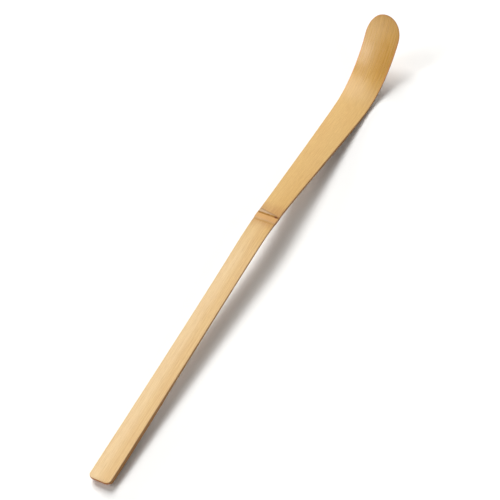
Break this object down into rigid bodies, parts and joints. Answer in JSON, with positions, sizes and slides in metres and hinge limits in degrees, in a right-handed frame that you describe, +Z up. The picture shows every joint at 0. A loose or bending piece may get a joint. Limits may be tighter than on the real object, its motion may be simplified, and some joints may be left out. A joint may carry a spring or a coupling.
{
  "type": "tea scoop",
  "caption": "Slender tea scoop carved and bent from a bamboo strip, with a flat-backed square-ended handle, a node ring near mid length and an upturned rounded tip that lifts powdered tea.",
  "frame": {"origin": "On the table that the scoop lies on, under the middle of its length and width.", "axes": "+X runs from the cut end of the handle to the tip, +Y across the strip's width, +Z up from the table out of the skin face. The scoop lies on the foot of its handle, behind the bevelled cut end, and on its belly."},
  "size_m": [0.1732, 0.0104, 0.018],
  "materials": {
    "bamboo": "bare bamboo, knife-cut and rubbed smooth, satin"
  },
  "bodies": {
    "root": {"bamboo_scoop": "bamboo"}
  },
  "joints": []
}
